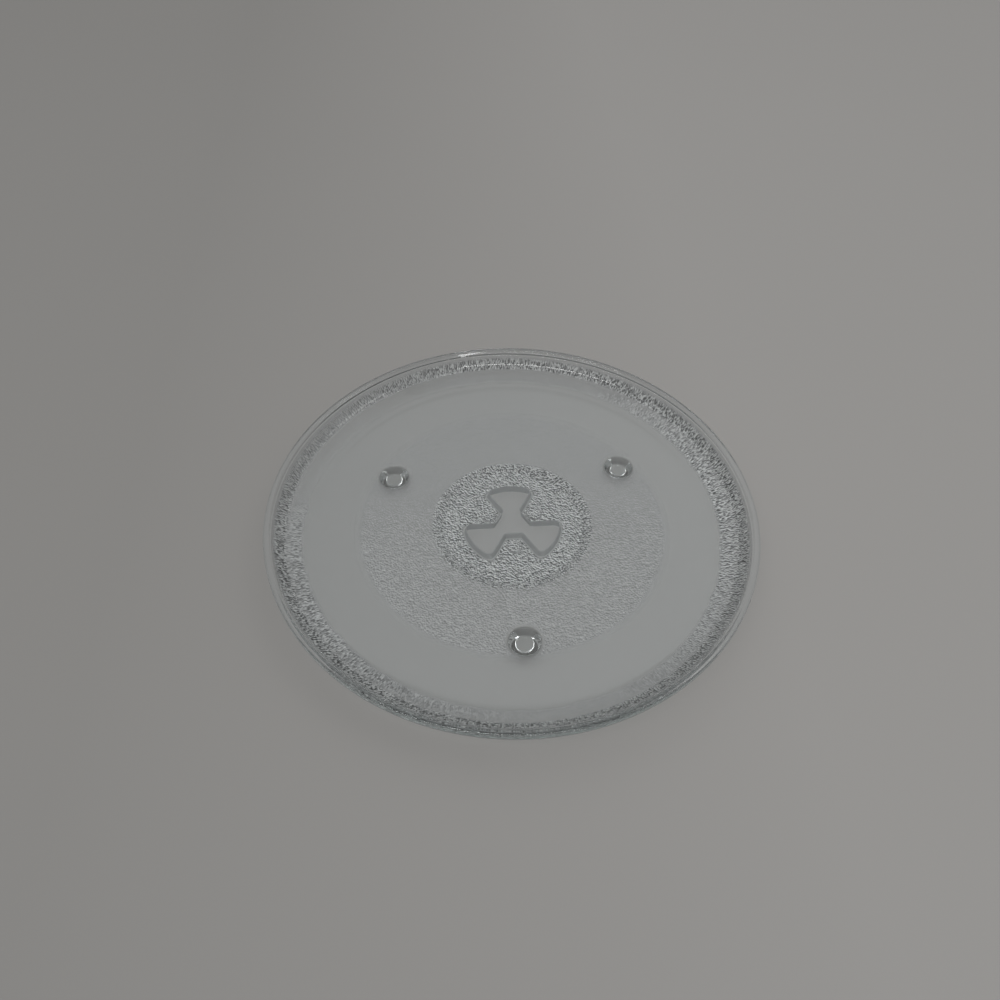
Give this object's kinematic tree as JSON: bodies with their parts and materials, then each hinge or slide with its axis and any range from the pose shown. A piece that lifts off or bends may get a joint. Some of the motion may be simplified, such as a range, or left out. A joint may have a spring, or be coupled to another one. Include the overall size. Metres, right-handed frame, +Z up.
{
  "type": "microwave turntable plate",
  "caption": "Round shallow pressed-glass plate with a raised lip, small feet, a smooth roller track underneath and a lobed centre recess that a drive coupler turns.",
  "frame": {"origin": "on the plate's axis, at the level of the table that its feet stand on", "axes": "+Z up along the plate's axis, -Y towards one of the feet"},
  "size_m": [0.27, 0.27, 0.0225],
  "materials": {
    "pressed_glass": "clear with a faint green tint, fire-polished on the food side and lip, stippled on parts of the underside"
  },
  "bodies": {
    "root": {"turntable_plate": "pressed_glass"}
  },
  "joints": []
}
